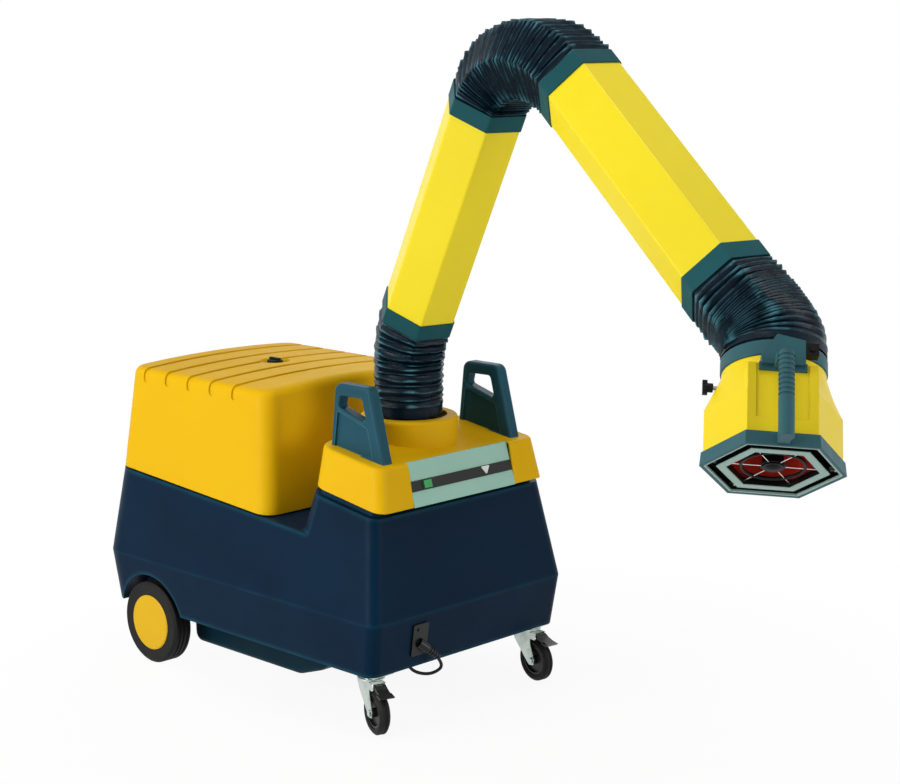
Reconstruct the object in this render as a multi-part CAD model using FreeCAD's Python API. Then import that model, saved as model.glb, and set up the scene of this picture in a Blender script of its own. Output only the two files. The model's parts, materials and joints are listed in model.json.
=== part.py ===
import FreeCAD, Part
import math
import os

Vec = FreeCAD.Vector

# Mobile welding fume extractor, millimetres.
# The trolley is drawn with X forward, Y left, Z up and the floor at zero.
# It is moved sideways at the end, so that the whole object is centred over the origin.
centreX = 478.59
centreY = -84.635

# Chassis, a hollow moulding with its widest girth at the belt
wall = 6.0
bottomZ = 169.0
beltZ = 320.0
topZ = 700.0
bottomRear = -828.0
bottomFront = 343.0
bottomHalf = 376.0
beltRear = -853.0
beltFront = 365.0
beltHalf = 386.0
topRear = -812.0
topFront = 302.0
topHalfRear = 334.0
topHalfFront = 321.0
rearCorner = 78.0
frontCorner = 34.0
railAtZero = 526.0
railSlope = -0.068
towerTopAtZero = 647.0
towerSlope = -0.14
towerCorner = 75.0
towerLobe = 148.0

# Filter cover, standing on a curb around the filter opening
cutTolerance = 0.002
coverGap = 4.0
coverRear = -818.0
coverFront = -116.0
coverLap = 13.0
coverHalf = topHalfRear + coverLap
coverTopRear = -768.0
coverTopFront = -142.0
coverDraft = 26.0
coverTopHalf = coverHalf - coverDraft
coverEdgeZ = 890.0
coverCrown = 16.0
coverCorner = 50.0
coverWall = 9.0
grooveFirst = -690.0
groovePitch = 103.0
grooveCount = 5
grooveWidth = 20.0
grooveDepth = 5.0
grooveEndZ = 862.0
curbWidth = 8.0
curbInset = 18.0

# Filter, its rod and the knob on top
filterX = -472.0
rodRadius = 6.0
stemRadius = 11.0
dishRadius = 44.0
dishDepth = 13.0
runFit = 0.05

# Tower cap with the collar round the arm
capGap = 18.0
capDepth = 114.5
capWall = 5.0
collarOuter = 140.0
collarInner = 110.0
collarTop = 822.0
ledgeTop = 765.0
panelHalf = 203.0
panelThick = 4.0

# Arm
swivelX = 110.0
armYaw = -10.8
lowerSide = 110.0
upperSide = 115.5
hexRound = 7.0
tubeWall = 2.5
lowerTilt = 29.2
lowerLength = 626.0
upperTilt = 127.9
upperLength = 637.0
cuffLength = 48.0
tubeInCuff = 30.0
shoulderZ = 1038.0
lowerStart = (61.0, 1142.0)
upperStart = (792.0, 1750.0)
elbowAt = (554.5, 1835.0)
wristReach = 231.4
ductRadius = 70.0
sleeveRadius = 77.0
sleeveTop = 840.0
boltRadius = 6.0
cheekGap = 12.5
cheekThick = 6.0

# Hood, its axis leans out of the arm's plane
hoodDrop = 307.6
hoodDown = (0.3561, -0.4709, -0.8072)
hoodGrip = (0.5764, -0.5692, 0.5863)
mouthSide = 161.0
shellSide = 153.0
rimHeight = 32.0
eavesZ = 134.0
neckZ = 215.0
neckRadius = 116.0
ringRadius = 119.0
spigotRadius = 100.0
throatRadius = 61.0
damperZ = 190.0

# Wheels
wheelX = -628.0
wheelRadius = 125.0
wheelFace = 382.0
wheelWidth = 64.0
hubRadius = 84.0
axleRadius = 10.0
archRadius = 148.0
archDepth = 300.0
casterX = 286.0
casterY = 321.0
casterTrail = 38.0
casterYawRight = -19.4
casterYawLeft = -6.4
casterRadius = 62.5
casterWidth = 32.0

# Cable loop at the front
cableRadius = 4.6

pieces = {}


def keep(name, *shapes):
    solids = []
    for shape in shapes:
        solids += shape.Solids
    moved = Part.makeCompound(solids) if len(solids) > 1 else solids[0]
    moved = moved.copy()
    moved.translate(Vec(-centreX, -centreY, 0))
    pieces[name] = moved


def join(first, *others):
    return first.fuse(list(others)).removeSplitter()


def roundWire(points, radius):
    radii = radius if isinstance(radius, list) else [radius] * len(points)
    count = len(points)
    bends = []
    for i in range(count):
        here = points[i]
        back = (points[i - 1] - here).normalize()
        ahead = (points[(i + 1) % count] - here).normalize()
        half = back.getAngle(ahead) / 2
        reach = radii[i] / math.tan(half)
        bisector = (back + ahead).normalize()
        middle = here + bisector * (radii[i] / math.sin(half) - radii[i])
        bends.append((here + back * reach, middle, here + ahead * reach))
    edges = []
    for i in range(count):
        start, middle, stop = bends[i]
        if radii[i] > 0:
            edges.append(Part.Arc(start, middle, stop).toShape())
        edges.append(Part.makeLine(stop, bends[(i + 1) % count][0]))
    return Part.Wire(edges)


def planRing(z, rear, front, rearHalf, frontHalf, radius):
    corners = [Vec(rear, -rearHalf, z), Vec(front, -frontHalf, z)]
    corners += [Vec(front, frontHalf, z), Vec(rear, rearHalf, z)]
    return roundWire(corners, radius)


def loft(*wires):
    return Part.makeLoft(list(wires), True, True)


def plate(wire, travel):
    return Part.Face(wire).extrude(travel)


def polygon(points):
    return Part.makePolygon(points + points[:1])


def sideSlab(points, half, radius=None):
    corners = [Vec(x, -half, z) for x, z in points]
    wire = roundWire(corners, radius) if radius else polygon(corners)
    return plate(wire, Vec(0, 2 * half, 0))


def sideSlabAt(points, low, high, radius=None):
    corners = [Vec(x, low, z) for x, z in points]
    wire = roundWire(corners, radius) if radius else polygon(corners)
    return plate(wire, Vec(0, high - low, 0))


def box(low, high):
    size = [b - a for a, b in zip(low, high)]
    return Part.makeBox(size[0], size[1], size[2], Vec(*low))


def rod(radius, start, stop):
    run = stop - start
    return Part.makeCylinder(radius, run.Length, start, run)


def pipe(outer, inner, start, stop):
    return rod(outer, start, stop).cut(rod(inner, start, stop))


def standing(outer, inner, x, y, low, high):
    return pipe(outer, inner, Vec(x, y, low), Vec(x, y, high))


def frame(origin, xAxis, zAxis):
    z = Vec(zAxis)
    z.normalize()
    x = Vec(xAxis) - z * z.dot(Vec(xAxis))
    x.normalize()
    y = z.cross(x)
    o = origin
    rows = (x.x, y.x, z.x, o.x, x.y, y.y, z.y, o.y, x.z, y.z, z.z, o.z, 0, 0, 0, 1)
    return FreeCAD.Placement(FreeCAD.Matrix(*rows))


def placed(shape, place):
    moved = shape.copy()
    moved.Placement = place.multiply(moved.Placement)
    return moved


def railZ(x, lift=0.0):
    return railAtZero + railSlope * x + lift


def towerZ(x, lift=0.0):
    return towerTopAtZero + towerSlope * x + lift


def slopedSlab(height, rear, front, low, high, half=600.0):
    points = [(rear, height(rear, low)), (front, height(front, low))]
    points += [(front, height(front, high)), (rear, height(rear, high))]
    return sideSlab(points, half)


# Chassis

def chassisSolid(inset):
    turns = [rearCorner - inset, frontCorner - inset, frontCorner - inset, rearCorner - inset]
    lowHalf = bottomHalf - inset
    midHalf = beltHalf - inset
    low = planRing(bottomZ + inset, bottomRear + inset, bottomFront - inset, lowHalf, lowHalf, turns)
    belt = planRing(beltZ, beltRear + inset, beltFront - inset, midHalf, midHalf, turns)
    rearHalf = topHalfRear - inset
    frontHalf = topHalfFront - inset
    high = planRing(topZ, topRear + inset, topFront - inset, rearHalf, frontHalf, turns)
    return join(loft(low, belt), loft(belt, high))


def towerSolid(inset):
    wide = beltHalf - 18 - inset
    low = planRing(440, -10 + inset, 700, wide, wide, towerCorner - inset)
    narrow = topHalfFront - 6 - inset
    high = planRing(760, 63 + inset, 700, narrow, narrow, towerCorner - inset)
    lobe = Part.makeCylinder(towerLobe - inset, 320, Vec(swivelX, 0, 440))
    return join(loft(low, high), lobe)


def openTop(inset):
    tub = slopedSlab(railZ, -1000, 190, -inset, 500).cut(towerSolid(inset))
    head = slopedSlab(towerZ, -300, 600, -inset, 500)
    return tub, head


def wheelArch(side):
    start = Vec(wheelX, side * archDepth, wheelRadius)
    return rod(archRadius, start, Vec(wheelX, side * 500, wheelRadius))


def filterOpening(inset, low, high):
    corner = coverCorner - inset
    half = coverHalf - inset
    ring = planRing(low, coverRear + inset, coverFront - inset, half, half, corner)
    return plate(ring, Vec(0, 0, high - low))


def chassisShell():
    body = chassisSolid(0)
    for cutter in openTop(0):
        body = body.cut(cutter)
    hollow = chassisSolid(wall)
    for cutter in openTop(wall):
        hollow = hollow.cut(cutter)
    for side in (-1, 1):
        body = body.cut(wheelArch(side))
        start = Vec(wheelX, side * (archDepth - wall), wheelRadius)
        hollow = hollow.cut(rod(archRadius + wall, start, Vec(wheelX, side * 500, wheelRadius)))
    body = body.cut(hollow)
    opening = filterOpening(curbInset + curbWidth, 480, 660)
    body = body.cut(opening)
    curb = filterOpening(curbInset, 480, 700).cut(opening)
    curb = curb.common(slopedSlab(railZ, -1000, 190, -wall, coverGap))
    neck = chassisSolid(16).common(towerSolid(16)).cut(chassisSolid(22).common(towerSolid(22)))
    neck = neck.common(slopedSlab(towerZ, -300, 600, -wall, capGap))
    head = chassisSolid(22).common(towerSolid(22))
    head = head.common(slopedSlab(towerZ, -300, 600, -wall - 4, capGap + 4))
    body = join(body.cut(head), curb, neck)
    body = body.cut(box((-540, -236, 150), (-6, 236, 190)))
    body = body.cut(rod(9.0, Vec(302, -208, 140), Vec(302, -208, 200)))
    body = body.cut(rod(8.0, Vec(300, -192, 222), Vec(400, -192, 222)))
    return body


def bellyTray(inset):
    points = [(-566 + inset, 230), (-556 + inset, 60 + inset), (-80, 60 + inset)]
    points += [(14, 92 + inset), (87 - inset, 148 + inset), (87 - inset, 230)]
    body = sideSlab(points, 268 - inset, [0, 30, 60, 60, 12, 0])
    rims = []
    for edge in body.Edges:
        if abs(abs(edge.CenterOfMass.y) - (268 - inset)) < 0.1 and edge.CenterOfMass.z < 225:
            rims.append(edge)
    return body.makeFillet(16 - inset, rims)


def bellyPan():
    body = bellyTray(0).cut(bellyTray(4))
    body = body.cut(box((-700, -400, bottomZ), (200, 400, 300)))
    flange = box((-582, -282, 165), (104, 282, bottomZ))
    flange = flange.cut(bellyTray(2))
    return join(body, flange)


# Filter cover

def crownSlab(inset, start, stop):
    half = coverTopHalf + 40
    left = Vec(start, -half, coverEdgeZ - inset)
    right = Vec(start, half, coverEdgeZ - inset)
    peak = Vec(start, 0, coverEdgeZ + coverCrown - inset)
    crown = [Part.Arc(left, peak, right).toShape()]
    crown.append(Part.makeLine(right, Vec(start, half, 400)))
    crown.append(Part.makeLine(Vec(start, half, 400), Vec(start, -half, 400)))
    crown.append(Part.makeLine(Vec(start, -half, 400), left))
    return plate(Part.Wire(crown), Vec(stop - start, 0, 0))


def coverSolid(inset):
    lowHalf = coverHalf - inset + 4
    topHalf = coverTopHalf - inset
    turn = coverCorner - inset
    low = planRing(500, coverRear + inset - 5, coverFront - inset + 5, lowHalf, lowHalf, turn)
    high = planRing(930, coverTopRear + inset, coverTopFront - inset, topHalf, topHalf, turn)
    body = loft(low, high).common(crownSlab(inset, -1000, 200))
    rims = [e for e in body.Edges if e.BoundBox.ZMin > coverEdgeZ - inset - 30 and e.BoundBox.ZMax < 930]
    return body.makeFillet(26 - inset, rims)


def grooveCore():
    base = coverHalf + 4 - grooveDepth
    top = coverTopHalf - grooveDepth
    corners = [Vec(-712, -base, 500), Vec(-712, base, 500), Vec(-712, top, 930), Vec(-712, -top, 930)]
    body = plate(polygon(corners), Vec(514, 0, 0)).common(crownSlab(grooveDepth, -800, 0))
    rims = []
    for edge in body.Edges:
        if edge.BoundBox.XLength > 500 and edge.CenterOfMass.z > 700:
            rims.append(edge)
    return body.makeFillet(26 - grooveDepth, rims)


def grooveSlot(x):
    half = grooveWidth / 2
    left = Vec(x - half, -600, grooveEndZ)
    right = Vec(x + half, -600, grooveEndZ)
    edges = [Part.Arc(left, Vec(x, -600, grooveEndZ - half), right).toShape()]
    edges.append(Part.makeLine(right, Vec(x + half, -600, 1000)))
    edges.append(Part.makeLine(Vec(x + half, -600, 1000), Vec(x - half, -600, 1000)))
    edges.append(Part.makeLine(Vec(x - half, -600, 1000), left))
    return plate(Part.Wire(edges), Vec(0, 1200, 0))


def filterCover():
    outer = coverSolid(0)
    inner = coverSolid(coverWall)
    body = outer.cut(inner)
    core = grooveCore()
    boss = Part.makeCylinder(70, 200, Vec(filterX, 0, 800))
    boss = boss.common(inner).cut(Part.makeCylinder(80, 92, Vec(filterX, 0, 780)))
    body = join(body, boss)
    for i in range(grooveCount):
        body = body.cut(grooveSlot(grooveFirst + i * groovePitch).cut(core), cutTolerance)
    peak = coverEdgeZ + coverCrown
    dish = Part.makeCone(dishRadius - 8, dishRadius + 10, dishDepth + 9, Vec(filterX, 0, peak - dishDepth))
    body = body.cut(dish)
    body = body.cut(Part.makeCylinder(stemRadius + runFit, 300, Vec(filterX, 0, 700)))
    return body.cut(slopedSlab(railZ, -1200, 200, -400, coverGap))


def coverKnob():
    floorZ = coverEdgeZ + coverCrown - dishDepth
    head = Part.makeCylinder(24, 15, Vec(filterX, 0, floorZ + 0.5))
    head = head.makeFillet(3, [e for e in head.Edges if e.BoundBox.ZMin > floorZ + 15])
    grip = box((filterX - 21, -5, floorZ + 15), (filterX + 21, 5, floorZ + 22))
    stem = Part.makeCylinder(stemRadius, 70, Vec(filterX, 0, floorZ + 0.5 - 70))
    bore = Part.makeCylinder(rodRadius + runFit, 60, Vec(filterX, 0, floorZ + 0.5 - 71))
    return join(head, grip, stem).cut(bore)


def filterSeat():
    floor = box((-700, -250, 250), (-250, 250, 256))
    floor = floor.cut(Part.makeCylinder(100, 40, Vec(filterX, 0, 230)))
    cross = box((filterX - 12, -110, 250), (filterX + 12, 110, 256))
    stud = Part.makeCylinder(rodRadius, 878 - 250, Vec(filterX, 0, 250))
    legs = []
    for x in (-690, -272):
        for y in (-232, 212):
            legs.append(box((x, y, bottomZ + wall), (x + 12, y + 20, 252)))
    return join(floor, cross, stud, *legs)


def filterCartridge():
    points = []
    for i in range(72):
        radius = 216.0 if i % 2 == 0 else 182.0
        angle = math.radians(5 * i)
        points.append(Vec(filterX + radius * math.cos(angle), radius * math.sin(angle), 270))
    pleats = plate(polygon(points), Vec(0, 0, 500)).cut(Part.makeCylinder(150, 520, Vec(filterX, 0, 265)))
    base = standing(222, 110, filterX, 0, 256, 270)
    lid = standing(222, rodRadius + 1, filterX, 0, 770, 784)
    return pleats, base, lid


# Tower cap, handles and panel

def capSolid(inset, drop):
    turns = [towerCorner - inset, frontCorner - inset, frontCorner - inset, towerCorner - inset]
    low = planRing(560, 28 + inset, 348 - inset, 341 - inset, 341 - inset, turns)
    high = planRing(800, 46 + inset, 302 - inset, 304 - inset, 304 - inset, turns)
    lobe = Part.makeCylinder(towerLobe - inset, 240, Vec(swivelX, 0, 560))
    body = join(loft(low, high), lobe)
    return body.common(slopedSlab(towerZ, -300, 700, capGap, capGap + capDepth - drop))


def panelWedge(front):
    slope = (341 - 304) / (614.0 - 727.0)
    high = (304 + front + slope * 80, 807)
    low = (341 + front - slope * 60, 554)
    return high, low


def frontOf(offset):
    high, low = panelWedge(offset)
    return [high, low, (600, 554), (600, 807)]


def towerCap():
    body = capSolid(0, 0)
    tops = []
    for e in body.Edges:
        middle = e.CenterOfMass
        if abs(middle.z - towerZ(middle.x, capGap + capDepth)) < 1.0:
            tops.append(e)
    body = body.makeFillet(11, tops)
    body = body.cut(capSolid(capWall, capWall))
    flange = capSolid(2, 0).cut(capSolid(28, 0))
    flange = flange.common(slopedSlab(towerZ, -300, 700, capGap, capGap + 4))
    body = join(body, flange)
    collar = Part.makeCylinder(collarOuter, collarTop - 700, Vec(swivelX, 0, 700))
    collar = collar.makeFillet(9, [e for e in collar.Edges if e.BoundBox.ZMin > collarTop - 1])
    core = Part.makeCylinder(collarInner, 300, Vec(swivelX, 0, 600))
    body = body.cut(core)
    collar = collar.cut(slopedSlab(towerZ, -400, 700, -400, capGap + capDepth - capWall))
    collar = collar.cut(core)
    ledge = standing(collarOuter - 4, ductRadius + 4, swivelX, 0, ledgeTop - 8, ledgeTop)
    body = join(body, collar, ledge)
    return body.cut(sideSlab(frontOf(-panelThick), panelHalf))


def panelFrame():
    top = Vec(304, 0, 727)
    down = Vec(341 - 304, 0, 614 - 727)
    down.normalize()
    return frame(top, Vec(0, 1, 0), Vec(-down.z, 0, down.x))


panelMid = -57.5
stripHalf = 15.0
rockerAt = -138.0
lensAt = 95.0


def controlPanel():
    body = sideSlab(frontOf(-panelThick), panelHalf - 0.4).cut(sideSlab(frontOf(0), 400))
    body = body.common(slopedSlab(towerZ, -300, 700, capGap, capGap + capDepth - 1))
    place = panelFrame()
    slot = box((rockerAt - 17, panelMid - 12, -20), (rockerAt + 17, panelMid + 12, 20))
    body = body.cut(placed(slot, place))
    return body.cut(placed(Part.makeCylinder(6, 40, Vec(lensAt, panelMid + 2, -20)), place))


def panelStrip():
    body = box((-panelHalf + 2, panelMid - stripHalf, 0), (panelHalf - 2, panelMid + stripHalf, 1.6))
    body = body.cut(box((rockerAt - 17, panelMid - 12, -20), (rockerAt + 17, panelMid + 12, 20)))
    body = body.cut(Part.makeCylinder(6, 40, Vec(lensAt, panelMid + 2, -20)))
    return placed(body, panelFrame())


def rockerSwitch():
    paddle = [(-16, -1), (16, -1), (16, 3.5), (0, 1.8), (-16, 6.5)]
    corners = [Vec(rockerAt + x, panelMid - 11, z) for x, z in paddle]
    body = plate(polygon(corners), Vec(0, 22, 0))
    stalk = box((rockerAt - 8, panelMid - 9, -13), (rockerAt + 8, panelMid + 9, 0))
    return placed(join(body, stalk), panelFrame())


def indicatorLens():
    corners = [Vec(lensAt - 18, panelMid + 13, 1.6), Vec(lensAt + 18, panelMid + 13, 1.6)]
    corners.append(Vec(lensAt, panelMid - 11, 1.6))
    body = plate(roundWire(corners, 2.5), Vec(0, 0, 2.2))
    return placed(join(body, Part.makeCylinder(5.8, 14, Vec(lensAt, panelMid + 2, -10))), panelFrame())


handleY = 255.0
handleHalf = 19.0


def loopHandle(side):
    outline = [(72, 700), (98, 945), (234, 946), (300, 700)]
    body = sideSlab(outline, handleHalf, [2, 26, 26, 2])
    window = [(118, 910), (203, 912), (221, 846), (110, 878)]
    body = body.cut(sideSlab(window, 100, [8, 12, 10, 8]))
    body = body.cut(slopedSlab(towerZ, -300, 700, -300, capGap + capDepth))
    rims = []
    for edge in body.Edges:
        flush = abs(abs(edge.CenterOfMass.y) - handleHalf) < 0.1
        if flush and edge.CenterOfMass.z > 780 and edge.BoundBox.ZMin > 735:
            rims.append(edge)
    body = body.makeFillet(7, rims)
    pocket = [(108, 866), (226, 832), (247, 748), (94, 760)]
    for face in (-1, 1):
        low = 12 if face > 0 else -40
        high = 40 if face > 0 else -12
        cutter = sideSlabAt(pocket, low, high, [6, 10, 4, 4])
        body = body.cut(cutter)
    body.translate(Vec(0, side * handleY, 0))
    return body


# Cable entry at the front

def glandPlate():
    slope = math.atan2(beltFront - bottomFront, beltZ - bottomZ)
    face = frame(Vec(bottomFront, -204, bottomZ), Vec(0, 1, 0), Vec(math.cos(slope), 0, -math.sin(slope)))
    corners = [Vec(-29, 34, 0), Vec(29, 34, 0), Vec(29, 128, 0), Vec(-29, 128, 0)]
    body = plate(roundWire(corners, 6), Vec(0, 0, 5))
    for y in (74, 111):
        body = join(body, Part.makeCylinder(5, 8, Vec(-8, y, 0)))
    run = Vec(cableAlong).normalize()
    boss = placed(rod(15, cableStart - run * 30, cableStart), face.inverse())
    boss = boss.common(box((-60, -60, 0), (60, 160, 80)))
    body = placed(join(body, boss), face)
    return body.cut(rod(cableRadius, cableStart - run * 8, cableStart + run * 2))


def strainRelief(start, along):
    run = Vec(along)
    run.normalize()
    place = frame(start, Vec(0, 0, 1), run)
    body = Part.makeCone(12, 8, 46, Vec(0, 0, 0))
    for i in range(4):
        body = body.cut(standing(20, 6.8, 0, 0, 8 + 9 * i, 11 + 9 * i))
    return placed(body.cut(Part.makeCylinder(cableRadius, 80, Vec(0, 0, -20))), place)


cableStart = Vec(366, -184, 220)
cableAlong = Vec(24, 46, -42)


def cablePath():
    run = Vec(cableAlong)
    run.normalize()
    leave = cableStart + run * 40
    points = [cableStart - run * 4, leave + run * 36, Vec(350, -154, 130)]
    return points + [Vec(308, -205, 150), Vec(300, -209, 196)]


def cableLoop():
    points = cablePath()
    bends = []
    for i in range(1, len(points) - 1):
        back = points[i - 1] - points[i]
        ahead = points[i + 1] - points[i]
        half = back.getAngle(ahead) / 2
        turn = math.pi / 2 - half
        short = min(back.Length, ahead.Length)
        radius = 0.45 * short / math.tan(turn)
        back.normalize()
        ahead.normalize()
        middle = points[i] + (back + ahead).normalize() * (radius / math.sin(half) - radius)
        bends.append((points[i] + back * 0.45 * short, middle, points[i] + ahead * 0.45 * short))
    edges = []
    here = points[0]
    for start, middle, stop in bends:
        edges.append(Part.makeLine(here, start))
        edges.append(Part.Arc(start, middle, stop).toShape())
        here = stop
    edges.append(Part.makeLine(here, points[-1]))
    spine = Part.Wire(edges)
    ring = Part.makeCircle(cableRadius, points[0], points[1] - points[0])
    return spine.makePipeShell([Part.Wire(ring)], True, False)


# Air path and fan inside the tower

def inletDuct():
    riser = standing(ductRadius, ductRadius - 3, swivelX, 0, 520, 834)
    collar = standing(collarInner - 2, ductRadius - 3, swivelX, 0, ledgeTop, ledgeTop + 7)
    section = Part.Face(Part.Wire(Part.makeCircle(ductRadius, Vec(swivelX, 0, 520))))
    section = section.cut(Part.Face(Part.Wire(Part.makeCircle(ductRadius - 3, Vec(swivelX, 0, 520)))))
    bend = section.revolve(Vec(swivelX - 90, 0, 520), Vec(0, 1, 0), 90)
    run = pipe(ductRadius, ductRadius - 3, Vec(swivelX - 90, 0, 430), Vec(-150, 0, 430))
    return join(riser, collar, bend, run)


fanX = 120.0


def fanHousing():
    drum = Part.makeCylinder(150, 84, Vec(fanX, 0, 184))
    drum = drum.cut(Part.makeCylinder(146, 78, Vec(fanX, 0, 187)))
    drum = drum.cut(Part.makeCylinder(72, 20, Vec(fanX, 0, 175)))
    drum = drum.cut(Part.makeCylinder(14, 40, Vec(fanX, 0, 250)))
    feet = []
    for angle in (45, 135, 225, 315):
        x = fanX + 138 * math.cos(math.radians(angle))
        y = 138 * math.sin(math.radians(angle))
        feet.append(Part.makeCylinder(11, 11, Vec(x, y, bottomZ + wall)))
    return join(drum, *feet)


def fanMotor():
    can = Part.makeCylinder(70, 76, Vec(fanX, 0, 268))
    can = can.makeFillet(8, [e for e in can.Edges if e.BoundBox.ZMin > 340])
    return join(can, Part.makeCylinder(9, 70, Vec(fanX, 0, 200)))


def fanImpeller():
    back = standing(126, 9 + runFit, fanX, 0, 252, 255)
    hub = standing(22, 9 + runFit, fanX, 0, 212, 255)
    front = standing(126, 80, fanX, 0, 196, 199)
    blades = []
    for i in range(10):
        blade = box((84, -1.5, 197), (124, 1.5, 253))
        blade.rotate(Vec(84, 0, 0), Vec(0, 0, 1), 35)
        blade.rotate(Vec(0, 0, 0), Vec(0, 0, 1), 36 * i)
        blade.translate(Vec(fanX, 0, 0))
        blades.append(blade.common(Part.makeCylinder(126, 100, Vec(fanX, 0, 180))))
    return join(back, hub, front, *blades)


# Wheels and casters

def spun(profile):
    wire = polygon([Vec(r, y, 0) for r, y in profile])
    return Part.Face(wire).revolve(Vec(0, 0, 0), Vec(0, 1, 0), 360)


def tyreProfile(radius, inner, width, grooves, depth):
    half = width / 2
    points = [(inner, -half + 2), (radius - 9, -half), (radius - 2, -half + 5)]
    pitch = (width - 14) / (2 * grooves + 1)
    y = -half + 7
    for i in range(2 * grooves + 1):
        level = radius if i % 2 == 0 else radius - depth
        points += [(level, y), (level, y + pitch)]
        y += pitch
    points += [(radius - 2, half - 5), (radius - 9, half), (inner, half - 2)]
    return points


def rearTyre(side):
    body = spun(tyreProfile(wheelRadius, hubRadius, wheelWidth, 3, 3))
    body.translate(Vec(wheelX, side * (wheelFace - wheelWidth / 2), wheelRadius))
    return body


def rearHub(side):
    half = wheelWidth / 2
    disc = [(axleRadius + runFit, -half - 6), (24, -half - 6), (24, half - 8)]
    disc += [(72, half - 8), (72, -half + 4)]
    disc += [(hubRadius, -half + 4), (hubRadius, half - 1), (hubRadius - 4, half + 1.5), (0, half + 1.5)]
    disc += [(0, half - 5), (axleRadius + runFit, half - 5)]
    body = spun(disc)
    if side < 0:
        body.rotate(Vec(0, 0, 0), Vec(0, 0, 1), 180)
    body.translate(Vec(wheelX, side * (wheelFace - half), wheelRadius))
    return body


def rearAxle():
    reach = wheelFace - 6
    body = rod(axleRadius, Vec(wheelX, -reach, wheelRadius), Vec(wheelX, reach, wheelRadius))
    for side in (-1, 1):
        y = side * 274
        hanger = [(wheelX - 34, bottomZ), (wheelX - 20, 106), (wheelX + 20, 106), (wheelX + 34, bottomZ)]
        body = join(body, sideSlabAt(hanger, y - 5, y + 5))
        body = join(body, box((wheelX - 34, y - 22, bottomZ - 5), (wheelX + 34, y + 22, bottomZ)))
    return body


def casterFrame(side):
    yaw = casterYawRight if side < 0 else casterYawLeft
    place = FreeCAD.Placement(Vec(casterX, side * casterY, 0), FreeCAD.Rotation(Vec(0, 0, 1), yaw))
    return place


def casterPlates():
    bodies = []
    for side in (-1, 1):
        top = box((-50, -38, bottomZ - 5), (50, 38, bottomZ))
        head = Part.makeCylinder(24, 10, Vec(0, 0, bottomZ - 14))
        pin = Part.makeCylinder(6, 22, Vec(0, 0, bottomZ - 27))
        body = join(top, head, pin)
        body.translate(Vec(casterX, side * casterY, 0))
        bodies.append(body)
    return bodies


def casterFork(side):
    crown = Part.makeCylinder(38, 4, Vec(0, 0, bottomZ - 18.5))
    crown = crown.cut(Part.makeCylinder(6 + runFit, 40, Vec(0, 0, bottomZ - 40)))
    legs = []
    for y in (-21, 18):
        outline = [(-50, 150.5), (30, 150.5), (32, 112), (casterTrail + 11, 66), (casterTrail + 9, 50)]
        outline += [(casterTrail - 9, 48), (casterTrail - 19, 56), (-34, 112), (-50, 138)]
        legs.append(sideSlabAt(outline, y, y + 3))
    bridge = box((-50, -21, 146.5), (30, 21, 150.5))
    bridge = bridge.cut(Part.makeCylinder(6 + runFit, 40, Vec(0, 0, bottomZ - 40)))
    body = join(crown, bridge, *legs)
    axle = rod(5, Vec(casterTrail, -26, casterRadius), Vec(casterTrail, 26, casterRadius))
    heads = [rod(9, Vec(casterTrail, -27, casterRadius), Vec(casterTrail, -21, casterRadius))]
    heads.append(rod(9, Vec(casterTrail, 21, casterRadius), Vec(casterTrail, 27, casterRadius)))
    ears = []
    for y in (-21, 18):
        ears.append(sideSlabAt([(20, 148), (20, 128), (52, 128), (58, 134), (52, 148)], y, y + 3))
    pin = rod(3, Vec(50, -21, 139), Vec(50, 21, 139))
    return placed(join(body, axle, pin, *(heads + ears)), casterFrame(side))


def casterTyre(side):
    body = spun(tyreProfile(casterRadius, 44, casterWidth, 1, 1.5))
    body.translate(Vec(casterTrail, 0, casterRadius))
    return placed(body, casterFrame(side))


def casterHub(side):
    profile = [(5 + runFit, -17), (13, -17), (13, -5), (38, -4), (38, -12), (44, -12)]
    profile += [(44, 12), (38, 12), (38, 4), (13, 5), (13, 17), (5 + runFit, 17)]
    body = spun(profile)
    body.translate(Vec(casterTrail, 0, casterRadius))
    return placed(body, casterFrame(side))


def casterPedal(side):
    outline = [(44, 144.5), (44, 133), (56, 133), (104, 120), (107, 124), (72, 137), (60, 144.5)]
    body = sideSlab(outline, 17)
    body = body.cut(rod(3 + runFit, Vec(50, -30, 139), Vec(50, 30, 139)))
    wide = sideSlab([(84, 128.5), (84, 124.5), (104, 119.2), (110, 123.5)], 22)
    return placed(join(body, wide), casterFrame(side))


# Arm

armU = Vec(math.cos(math.radians(armYaw)), math.sin(math.radians(armYaw)), 0)
armN = Vec(-armU.y, armU.x, 0)
armFoot = Vec(swivelX, 0, 0)


def armPoint(u, z):
    return armFoot + armU * u + Vec(0, 0, z)


def tilted(degrees):
    a = math.radians(degrees)
    return armU * math.sin(a) + Vec(0, 0, math.cos(a))


lowerAxis = tilted(lowerTilt)
upperAxis = tilted(upperTilt)
lowerFrame = frame(armPoint(*lowerStart), armN.cross(lowerAxis), lowerAxis)
upperFrame = frame(armPoint(*upperStart), armN.cross(upperAxis), upperAxis)
armFrame = frame(armFoot, armU, Vec(0, 0, 1))
shoulderPoint = armPoint(0, shoulderZ)
elbowPoint = armPoint(*elbowAt)
upperEnd = armPoint(*upperStart) + upperAxis * upperLength
wristPoint = upperEnd + upperAxis * wristReach

hoodAxis = Vec(*hoodDown)
hoodAxis.normalize()
hoodCentre = wristPoint + hoodAxis * hoodDrop
hoodFrame = frame(hoodCentre, Vec(*hoodGrip), hoodAxis * -1)
tiltAxis = upperAxis.cross(hoodAxis)
tiltAxis.normalize()
yokeFrame = frame(wristPoint, tiltAxis.cross(upperAxis), upperAxis)
hoodUp = hoodAxis * -1
neckFrame = frame(wristPoint, tiltAxis.cross(hoodUp), hoodUp)


def hexPoints(side, z):
    points = []
    for i in range(6):
        angle = math.radians(30 + 60 * i)
        points.append(Vec(side * math.cos(angle), side * math.sin(angle), z))
    return points


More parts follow.
